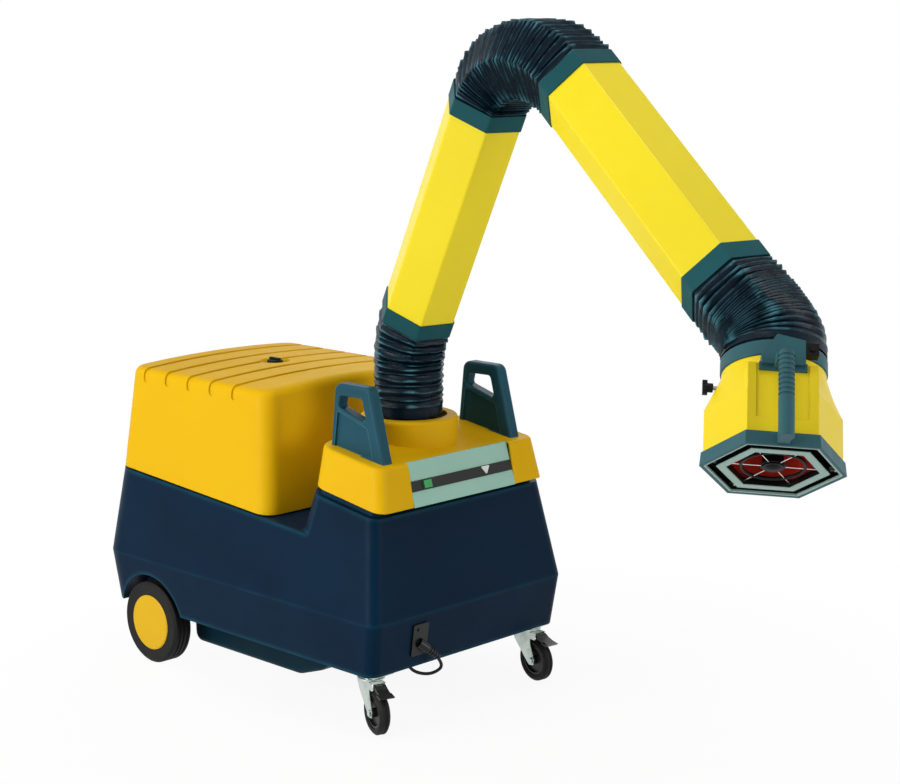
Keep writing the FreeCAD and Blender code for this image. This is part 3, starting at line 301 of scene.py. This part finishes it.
def edgeHighlightGroup():  # painted highlight: paler colour along moulded edges where the rounded normal turns, broken into patches
    inputs = {"Colour": plainGrey, "EdgeHighlight": plainGrey, "Width": 0.01}
    group, entry, leave = newGroup("paintedEdgeHighlight", inputs, ("Colour",))
    rounded = group.nodes.new("ShaderNodeBevel")
    rounded.samples = 8
    group.links.new(entry["Width"], rounded.inputs["Radius"])
    flat = group.nodes.new("ShaderNodeNewGeometry")
    apart = group.nodes.new("ShaderNodeVectorMath")
    apart.operation = "DISTANCE"
    group.links.new(rounded.outputs["Normal"], apart.inputs[0])
    group.links.new(flat.outputs["Normal"], apart.inputs[1])
    # painted highlight where the rounded normal parts from the flat one
    edge = addRange(group, apart.outputs["Value"], 0.02, 0.2, 0.0, 1.0)
    patch = addRange(group, addNoise(group, objectPlace(group), 7.0, 4.0, 0.6), 0.3, 0.65, 0.25, 1.0)
    highlightMask = addMath(group, "MULTIPLY", edge, patch)
    giveOut(group, leave, Colour=addMix(group, highlightMask, entry["Colour"], entry["EdgeHighlight"]))
    return group


groups = {"moulded": mouldedGroup(), "metal": metalGroup(), "cloth": clothGroup(), "wearAndSheen": edgeHighlightGroup()}
print("shader groups built")


# Finishes

def makeFinish(name, group, values, bump, rounding, metallic=0.0, shine=0.5):
    material = bpy.data.materials.new(name)
    material.use_nodes = True
    tree = material.node_tree
    surface = tree.nodes["Principled BSDF"]
    surface.inputs["Metallic"].default_value = metallic
    surface.inputs["Specular IOR Level"].default_value = shine
    look = tree.nodes.new("ShaderNodeGroup")
    look.node_tree = groups[group]
    for label, value in values.items():
        look.inputs[label].default_value = value
    tree.links.new(look.outputs["Colour"], surface.inputs["Base Color"])
    tree.links.new(look.outputs["Roughness"], surface.inputs["Roughness"])
    relief = tree.nodes.new("ShaderNodeBump")
    relief.inputs["Strength"].default_value = 1.0
    relief.inputs["Distance"].default_value = bump
    tree.links.new(look.outputs["Height"], relief.inputs["Height"])
    if rounding > 0:
        edge = tree.nodes.new("ShaderNodeBevel")
        edge.samples = 6
        edge.inputs["Radius"].default_value = rounding
        tree.links.new(edge.outputs["Normal"], relief.inputs["Normal"])
    tree.links.new(relief.outputs["Normal"], surface.inputs["Normal"])
    return material


# Mixes a painted highlight, a paler colour along the edges, into the base colour
def addEdgeHighlights(material, wearAndSheen, width):
    tree = material.node_tree
    base = tree.nodes["Principled BSDF"].inputs["Base Color"]
    edges = tree.nodes.new("ShaderNodeGroup")
    edges.node_tree = groups["wearAndSheen"]
    edges.inputs["EdgeHighlight"].default_value = wearAndSheen
    edges.inputs["Width"].default_value = width
    tree.links.new(base.links[0].from_socket, edges.inputs["Colour"])
    tree.links.new(edges.outputs["Colour"], base)


plastics = {  # slot: name, colour, cloudy tint, roughness, relief, edge rounding, shine
    "chassis_navy": ("chassisNavy", (0, 31, 54), (0, 24, 45), 0.42, 0.0004, 0.005, 0.06),
    "pan_blue": ("panBlue", (0, 36, 50), (0, 30, 42), 0.46, 0.0004, 0.004, 0.06),
    "cover_yellow": ("coverYellow", (224, 178, 6), (222, 173, 4), 0.5, 0.0005, 0.003, 0.1),
    "hub_yellow": ("hubYellow", (218, 174, 8), (212, 166, 6), 0.4, 0.0003, 0.0015, 0.16),
    "hood_yellow": ("hoodYellow", (236, 212, 36), (234, 207, 32), 0.36, 0.0003, 0.003, 0.18),
    "tube_lemon": ("tubeLemon", (238, 218, 30), (236, 214, 26), 0.34, 0.0002, 0.002, 0.22),
    "cuff_teal": ("cuffTeal", (22, 80, 86), (16, 70, 76), 0.5, 0.0007, 0.003, 0.1),
    "hood_trim": ("hoodTrim", (52, 96, 104), (45, 87, 95), 0.44, 0.0004, 0.0015, 0.15),
    "mouth_pale": ("mouthPale", (160, 188, 180), (148, 178, 170), 0.4, 0.0003, 0.001, 0.2),
    "liner_red": ("linerRed", (206, 42, 16), (170, 28, 12), 0.4, 0.0005, 0.001, 0.2),
    "panel_mint": ("panelMint", (160, 204, 190), (152, 196, 182), 0.36, 0.0001, 0.0008, 0.2),
    "handle_navy": ("handleNavy", (28, 76, 92), (22, 68, 84), 0.44, 0.0004, 0.002, 0.12),
    "strip_black": ("stripBlack", (8, 10, 12), (6, 8, 9), 0.34, 0.0002, 0.0006, 0.3),
    "knob_black": ("knobBlack", (8, 9, 11), (5, 6, 7), 0.42, 0.0003, 0.001, 0.14),
    "swivel_black": ("swivelBlack", (12, 16, 18), (8, 11, 12), 0.45, 0.0004, 0.001, 0.25),
    "switch_green": ("switchGreen", (60, 170, 96), (44, 150, 80), 0.28, 0.0001, 0.0006, 0.3),
    "lens_white": ("lensWhite", (232, 238, 232), (222, 230, 224), 0.22, 0.0001, 0.0006, 0.3),
    "cable_black": ("cableBlack", (9, 9, 10), (6, 6, 7), 0.5, 0.0002, 0.0, 0.25),
    "tyre_black": ("tyreBlack", (9, 10, 9), (15, 16, 14), 0.62, 0.0006, 0.0008, 0.2),
    "hub_grey": ("hubGrey", (20, 24, 22), (14, 17, 15), 0.4, 0.0003, 0.0008, 0.4),
    "filter_paper": ("filterPaper", (228, 222, 200), (206, 198, 174), 0.75, 0.0006, 0.0, 0.3),
    "motor_grey": ("motorGrey", (88, 94, 98), (70, 76, 80), 0.4, 0.0003, 0.001, 0.3),
}
plasticGrain = 900.0
metals = {  # slot: name, colour, stain, roughness
    "zinc_steel": ("zincSteel", (196, 206, 200), (140, 156, 150), 0.34),
    "bracket_steel": ("bracketSteel", (150, 152, 154), (110, 112, 112), 0.38),
    "duct_grey": ("ductGrey", (170, 174, 176), (130, 134, 136), 0.35),
    "cast_light": ("castLight", (186, 188, 190), (150, 152, 152), 0.45),
    "guard_white": ("guardWhite", (236, 238, 234), (204, 206, 202), 0.3),
}
metalRelief = 0.00008
metalRounding = 0.0008
# the ridge colour is the painted highlight on the pleat crests
hoseCloth = {"Colour": shade(0, 19, 33), "RidgeHighlight": shade(84, 146, 160), "Gloss": 0.3}
hoseLook = {"bump": 0.0009, "rounding": 0.0, "shine": 0.12}
paintedEdgeHighlights = {  # slot: paler colour of the painted edge highlight and how wide it runs from an edge
    "chassis_navy": ((10, 60, 80), 0.016),
    "pan_blue": ((12, 62, 78), 0.01),
    "handle_navy": ((50, 106, 122), 0.006),
}


def makeFinishes():
    made = {}
    for slotName, (name, colour, cloudTint, gloss, bump, rounding, shine) in plastics.items():
        values = {"Colour": shade(*colour), "CloudTint": shade(*cloudTint), "Gloss": gloss, "Grain": plasticGrain}
        made[slotName] = makeFinish(name, "moulded", values, bump, rounding, shine=shine)
    for slotName, (name, colour, stain, gloss) in metals.items():
        values = {"Colour": shade(*colour), "Stain": shade(*stain), "Gloss": gloss}
        made[slotName] = makeFinish(name, "metal", values, metalRelief, metalRounding, metallic=1.0)
    made["hose_black"] = makeFinish("hoseBlack", "cloth", hoseCloth, **hoseLook)
    # painted edge highlights on the chassis, the pan and the handles
    for slotName, (colour, width) in paintedEdgeHighlights.items():
        addEdgeHighlights(made[slotName], shade(*colour), width)
    return made


finishes = makeFinishes()


def dressNodes():
    for part in frame["record"]["subparts"]:
        mesh = nodes[part["node"]].data
        mesh.materials.clear()
        mesh.materials.append(finishes[part["material_slot"]])
    nodes["hood_button"].data.materials[0] = finishes["knob_black"]


dressNodes()
print("finishes laid on every node")


def addPiece(name, bm, slotName, body, *replaced):
    mesh = bpy.data.meshes.new(name)
    bm.to_mesh(mesh)
    bm.free()
    piece = bpy.data.objects.new(name, mesh)
    scene.collection.objects.link(piece)
    mesh.materials.append(finishes[slotName])
    if body:
        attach(piece, body)
    if replaced:
        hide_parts(*replaced)
    return piece


def smoothByAngle(bm, degrees):
    for face in bm.faces:
        face.smooth = True
    for edge in bm.edges:
        edge.smooth = len(edge.link_faces) == 2 and edge.calc_face_angle(0) < math.radians(degrees)


# Arm lines, as the frame places them

arm = {
    "foot": (-0.36859, 0.084635),
    "yaw": -10.8,
    "lowerTilt": 29.2,
    "upperTilt": 127.9,
    "lowerStart": (0.061, 1.142),
    "upperStart": (0.792, 1.750),
    "lowerLength": 0.626,
    "upperLength": 0.637,
    "cuff": 0.048,
    "sleeveTop": 0.840,
    "neckTop": 0.282,
}
reach = Vector((math.cos(math.radians(arm["yaw"])), math.sin(math.radians(arm["yaw"])), 0))
across = Vector((-reach.y, reach.x, 0))


def armPoint(out, height):
    return Vector((*arm["foot"], 0)) + reach * out + Vector((0, 0, height))


def leaning(degrees):
    angle = math.radians(degrees)
    return reach * math.sin(angle) + Vector((0, 0, math.cos(angle)))


lowerAxis = leaning(arm["lowerTilt"])
upperAxis = leaning(arm["upperTilt"])
lowerFoot = armPoint(*arm["lowerStart"])
upperFoot = armPoint(*arm["upperStart"])
upperEnd = upperFoot + upperAxis * arm["upperLength"]
joints = {j["name"]: j for j in frame["joints"]}
hoodCentre = Vector(joints["hood_turn"]["pos_m"])
hoodAxis = Vector(joints["hood_turn"]["axis"])


# Pleated hoses, hexagonal bellows of coated cloth

def curvePoint(start, leave, stop, arrive, s):
    a = 2 * s ** 3 - 3 * s ** 2 + 1
    b = s ** 3 - 2 * s ** 2 + s
    c = 3 * s ** 2 - 2 * s ** 3
    d = s ** 3 - s ** 2
    return start * a + leave * b + stop * c + arrive * d


def hexRadius(side, angle, roundness):  # flats at 0 degrees, corners at 30 and every 60 on
    turn = (angle + math.pi / 6) % (math.pi / 3) - math.pi / 6
    flat = side * math.sqrt(3) / 2 / math.cos(turn)
    return flat * (1 - roundness) + side * roundness


def plainTube(segments, rows):
    bm = bmesh.new()
    bm.verts.layers.float.new("ridge")
    bmesh.ops.create_cone(bm, cap_ends=False, segments=segments, radius1=1, radius2=1, depth=1)
    rising = [e for e in bm.edges if abs(e.verts[0].co.z - e.verts[1].co.z) > 0.5]
    bmesh.ops.subdivide_edges(bm, edges=rising, cuts=rows - 2, use_grid_fill=True)
    return bm


def mixed(pair, s):
    return pair[0] + (pair[1] - pair[0]) * s


pleat = {
    "rows": 8,  # rows of points to a pleat
    "widthSpread": 0.3,
    "cornerPush": 0.1,  # how far a fold runs ahead at a corner, in pleats
    "wander": 0.22,
    "growth": 1.2,  # pleats over which the folds grow from a cuff
    "depthSpread": 0.35,
    "sharpness": 0.85,
    "rootLevel": 0.4,  # share of the depth that lies inside the tube's line
    "cornerCrumple": 0.0022,
    "nearby": 0.003,  # step along the line that finds its direction
    "smoothAngle": 50,
    "wall": 0.002,
}


def hoseLine(values):  # the hose's middle line, and where along it each pleat ends
    pattern = values["pattern"]
    span = (values["stop"] - values["start"]).length
    leave = values["leave"].normalized() * span * values["ease"]
    arrive = values["arrive"].normalized() * span * values["ease"]
    widths = []
    for k, (width, _) in enumerate(pattern):
        widths.append(width * (1 + pleat["widthSpread"] * noise.noise((k * 1.7, values["seed"], 0.3))))
    edges = [sum(widths[:k]) / sum(widths) for k in range(len(pattern) + 1)]

    def onLine(s):
        return curvePoint(values["start"], leave, values["stop"], arrive, s)

    return onLine, edges


def pleatedHose(values, firstPleat, lastPleat):
    pattern = values["pattern"]
    seed = values["seed"]
    onLine, edges = hoseLine(values)
    atStart = firstPleat == 0
    atStop = lastPleat == len(pattern)
    perPleat = pleat["rows"]
    inner = (lastPleat - firstPleat) * perPleat
    rows = inner + 1 + atStart + atStop
    bm = plainTube(values["segments"], rows)
    ridge = bm.verts.layers.float["ridge"]
    for vert in bm.verts:
        i = round((vert.co.z + 0.5) * (rows - 1))
        angle = math.atan2(vert.co.y, vert.co.x)
        around = (math.cos(angle), math.sin(angle))
        corner = math.cos(6 * angle + math.pi)  # 1 on a hexagon corner
        sharp = max(corner, 0)
        # which pleat the row is in, and how far through it
        step = min(max(i - atStart, 0), inner)
        k = firstPleat + min(step // perPleat, lastPleat - firstPleat - 1)
        part = step / perPleat - (k - firstPleat)
        taper = min(1.0, (k + part) / pleat["growth"], (len(pattern) - k - part) / pleat["growth"])
        # place along the line, with folds that wander
        wander = noise.noise((k * 0.9, around[0] * 1.3, around[1] * 1.3 + seed))
        slip = pleat["cornerPush"] * sharp + pleat["wander"] * wander
        s = mixed(edges[k:k + 2], part) + slip * (edges[k + 1] - edges[k]) * taper
        s = min(max(s, 0.0), 1.0)
        point = onLine(s)
        along = onLine(min(s + pleat["nearby"], 1.0)) - onLine(max(s - pleat["nearby"], 0.0))
        along = along.normalized()
        tucked = (atStart and i == 0) or (atStop and i == rows - 1)
        if tucked:
            point = point + along * (values["ends"][1] if i else -values["ends"][0])
        outward = values["side"].cross(along).normalized()
        sideways = along.cross(outward)
        # distance from the line: hexagon, fold and crumple
        radius = hexRadius(mixed(values["sides"], s), angle, mixed(values["round"], s))
        wave = (1 - abs(2 * part - 1)) ** pleat["sharpness"]
        uneven = 1 + pleat["depthSpread"] * noise.noise((k * 2.3, 4.1, seed))
        depth = values["depth"] * pattern[k][1] * uneven
        crumple = noise.noise((around[0] * 3.1, around[1] * 3.1 + k * 0.7, s * 30 + seed))
        lift = (wave - pleat["rootLevel"]) * depth * (0.92 + 0.14 * corner + 0.2 * crumple) * taper
        lift += pleat["cornerCrumple"] * crumple * sharp ** 3 * taper
        radius += lift
        vert.co = point + outward * (radius * around[0]) + sideways * (radius * around[1])
        vert[ridge] = 0.0 if tucked else wave * (0.74 + 0.26 * sharp ** 2)
    bmesh.ops.recalc_face_normals(bm, faces=bm.faces)
    smoothByAngle(bm, pleat["smoothAngle"])
    return bm


def hoseShell(name, values, span, bodies, *replaced):
    bm = pleatedHose(values, *span)
    low, high = values["start"], values["stop"]
    if "half" in values:  # one of two shells that meet at a seam
        onLine, edges = hoseLine(values)
        seam = onLine(edges[values["half"]])
        low, high = (seam, high) if span[0] else (low, seam)
    piece = addPiece(name, bm, "hose_black", None, *replaced)
    thick = piece.modifiers.new("wall", "SOLIDIFY")
    thick.thickness = pleat["wall"]
    thick.offset = -1
    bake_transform(piece, *bodies, start=low, end=high)


shoulderFold = {
    "start": armPoint(0, arm["sleeveTop"] + 0.004),
    "leave": Vector((0, 0, 1)),
    "stop": lowerFoot - lowerAxis * arm["cuff"],
    "arrive": lowerAxis,
    "side": across,
    "sides": (0.097, 0.1085),
    "round": (1.0, 0.05),
    "pattern": [(1.0, 1.0), (0.5, 0.6)] * 7,
    "segments": 96,
    "depth": 0.010,
    "ease": 1.1,
    "ends": (0.020, 0.014),
    "seed": 3.2,
}
elbowFold = {
    "start": lowerFoot + lowerAxis * (arm["lowerLength"] + arm["cuff"]),
    "leave": lowerAxis,
    "stop": upperFoot - upperAxis * arm["cuff"],
    "arrive": upperAxis,
    "side": across,
    "sides": (0.1085, 0.1125),
    "round": (0.05, 0.05),
    "pattern": [(1.0, 1.0), (0.4, 0.5)] * 16,
    "segments": 96,
    "depth": 0.012,
    "ease": 1.1,
    "ends": (0.014, 0.014),
    "seed": 7.9,
}
hoodFold = {
    "start": upperEnd + upperAxis * arm["cuff"],
    "leave": upperAxis,
    "stop": hoodCentre - hoodAxis * arm["neckTop"],
    "arrive": hoodAxis,
    "side": across,
    "sides": (0.1125, 0.116),
    "round": (0.05, 1.0),
    "pattern": [(1.5, 1.0), (1.3, 0.8), (1.6, 1.1), (1.2, 0.9)] + [(0.5, 0.5)] * 13
    + [(0.9, 0.8)] * 4,
    "segments": 96,
    "depth": 0.011,
    "ease": 0.9,
    "ends": (0.014, 0.014),
    "seed": 12.4,
    "half": 4,  # pleats above the wrist's swivel
}
shoulderPleats = len(shoulderFold["pattern"])
elbowPleats = len(elbowFold["pattern"])
hoodPleats = len(hoodFold["pattern"])
hoodHalf = hoodFold["half"]
hoseShell("shoulderHose", shoulderFold, (0, shoulderPleats), ("turret", "lower_arm"), "shoulder_hose")
hoseShell("elbowHose", elbowFold, (0, elbowPleats), ("lower_arm", "upper_arm"), "elbow_hose")
hoseShell("hoodHoseUpper", hoodFold, (0, hoodHalf), ("upper_arm", "wrist"), "hood_hose")
hoseShell("hoodHoseLower", hoodFold, (hoodHalf, hoodPleats), ("wrist", "neck"))
print("hoses pleated")


# Mouth of the hood: dark ring on bright wires, small screws, and a black lining, trims and webs as painted shade
# on the inner walls and in the channel

mouth = {
    "grip": (0.5764, -0.5692, 0.5863),  # direction of the grip from the hood's middle
    "rings": ((0.070, 0.0042, 0.013), (0.026, 0.0022, 0.013)),  # radius, thickness, height
    "ringSides": 20,
    "ringSteps": 72,
    "wires": {"inner": 0.026, "outer": 0.103, "radius": 0.0010, "height": 0.0116},
    "shadeLining": {"wide": 0.1465, "narrow": 0.110, "low": 0.0195, "high": 0.186},
    "shadeTrims": (  # corner, low, high
        (0.1484, 0.0065, 0.0275),
        (0.1250, 0.0035, 0.0185),
        (0.1026, 0.0035, 0.0185),
    ),
    "wall": 0.0007,
    "webs": {"inner": 0.1085, "outer": 0.1485, "height": 0.0128, "width": 0.0124, "thick": 0.0018},
    "screws": {"out": 0.136, "radius": 0.0034, "height": 0.0112, "depth": 0.0024, "taper": 0.7},
}
cornerTurns = [Matrix.Rotation(math.radians(30 + 60 * i), 4, "Z") for i in range(6)]


def hoodPlace():
    up = -hoodAxis
    grip = Vector(mouth["grip"])
    ahead = (grip - up * grip.dot(up)).normalized()
    aside = up.cross(ahead)
    place = Matrix((ahead, aside, up)).transposed().to_4x4()
    place.translation = hoodCentre
    return place


def makeRings():
    bm = bmesh.new()
    for radius, thick, height in mouth["rings"]:
        turn = Matrix.Translation((radius, 0, height)) @ Matrix.Rotation(math.pi / 2, 4, "X")
        made = bmesh.ops.create_circle(bm, segments=mouth["ringSides"], radius=thick, matrix=turn)["verts"]
        loop = list({e for v in made for e in v.link_edges})
        bmesh.ops.spin(bm, geom=made + loop, axis=(0, 0, 1), cent=(0, 0, 0), angle=2 * math.pi,
                       steps=mouth["ringSteps"], use_merge=True)
    return bm


def makeWires():
    bm = bmesh.new()
    wires = mouth["wires"]
    length = wires["outer"] - wires["inner"]
    middle = Matrix.Translation((wires["inner"] + length / 2, 0, wires["height"]))
    lie = middle @ Matrix.Rotation(math.pi / 2, 4, "Y")
    ends = {"radius1": wires["radius"], "radius2": wires["radius"]}
    for turn in cornerTurns:
        bmesh.ops.create_cone(bm, cap_ends=True, segments=16, depth=length, matrix=turn @ lie, **ends)
    return bm


def makeScrews():
    bm = bmesh.new()
    screws = mouth["screws"]
    spot = Matrix.Translation((screws["out"], 0, screws["height"]))
    ends = {"radius1": screws["radius"] * screws["taper"], "radius2": screws["radius"]}
    for turn in cornerTurns:
        place = turn @ spot
        bmesh.ops.create_cone(bm, cap_ends=True, segments=20, depth=screws["depth"], matrix=place, **ends)
    return bm


def addHexSleeve(bm, wide, narrow, low, high):
    stand = Matrix.Translation((0, 0, (low + high) / 2))
    ends = {"radius1": wide, "radius2": narrow}
    bmesh.ops.create_cone(bm, cap_ends=False, segments=6, depth=high - low, matrix=stand, **ends)


# black sleeve on the hood's inner walls: painted shade in the hood's inside
def makeShadeLining():
    bm = bmesh.new()
    addHexSleeve(bm, **mouth["shadeLining"])
    bmesh.ops.recalc_face_normals(bm, faces=bm.faces)
    bmesh.ops.solidify(bm, geom=bm.faces[:], thickness=mouth["wall"])
    return bm


# black sleeves on the rings' inner walls and black boxes on the webs: painted shade in the channel
def makeShadeTrims():
    bm = bmesh.new()
    for corner, low, high in mouth["shadeTrims"]:
        addHexSleeve(bm, corner, corner, low, high)
    bmesh.ops.solidify(bm, geom=bm.faces[:], thickness=mouth["wall"])
    webs = mouth["webs"]
    spot = Matrix.Translation(((webs["inner"] + webs["outer"]) / 2, 0, webs["height"]))
    size = Matrix.Diagonal((webs["outer"] - webs["inner"], webs["width"], webs["thick"], 1))
    for turn in cornerTurns:
        bmesh.ops.create_cube(bm, size=1, matrix=turn @ spot @ size)
    return bm


def addMouthPiece(name, bm, slotName, *replaced):
    bmesh.ops.transform(bm, matrix=hoodPlace(), verts=bm.verts)
    bmesh.ops.recalc_face_normals(bm, faces=bm.faces)
    smoothByAngle(bm, 40)
    addPiece(name, bm, slotName, "hood", *replaced)


addMouthPiece("guardRing", makeRings(), "knob_black", "hood_guard")
addMouthPiece("guardWires", makeWires(), "guard_white")
addMouthPiece("mouthScrews", makeScrews(), "zinc_steel")
addMouthPiece("mouthShadeLining", makeShadeLining(), "strip_black")
addMouthPiece("mouthShadeTrims", makeShadeTrims(), "strip_black")
print("mouth of the hood made")


# Cable loop under the gland, one smooth line through the route's points

cable = {
    "radius": 0.0046,
    "start": (0.366, -0.184, 0.220),
    "along": (24, 46, -42),
    "corners": [(0.350, -0.154, 0.130), (0.308, -0.205, 0.150), (0.300, -0.209, 0.196)],
    "shift": (-0.47859, 0.084635, 0.0),  # from the drawing's origin to the frame's
    "tuck": 0.004,
    "relief": 0.076,  # straight run out of the strain relief
}


def makeCable():
    shift = Vector(cable["shift"])
    run = Vector(cable["along"]).normalized()
    start = Vector(cable["start"]) + shift
    route = [start - run * cable["tuck"], start + run * cable["relief"]]
    route += [Vector(corner) + shift for corner in cable["corners"]]
    line = bpy.data.curves.new("cableLoop", "CURVE")
    line.dimensions = "3D"
    spline = line.splines.new("NURBS")
    spline.points.add(len(route) - 1)
    for point, place in zip(spline.points, route):
        point.co = (*place, 1)
    spline.order_u = 3
    spline.use_endpoint_u = True
    spline.resolution_u = 16
    line.bevel_depth = cable["radius"]
    line.bevel_resolution = 6
    line.use_fill_caps = True
    piece = bpy.data.objects.new("cableLoop", line)
    scene.collection.objects.link(piece)
    line.materials.append(finishes["cable_black"])
    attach(piece, "trolley")
    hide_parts("cable_loop")
    plain = line.copy()
    plain.bevel_depth = 0
    plain.use_fill_caps = False
    holder = bpy.data.objects.new("cableRoute", plain)
    points = [v.co.copy() for v in bpy.data.meshes.new_from_object(holder).vertices]
    bpy.data.objects.remove(holder)


makeCable()
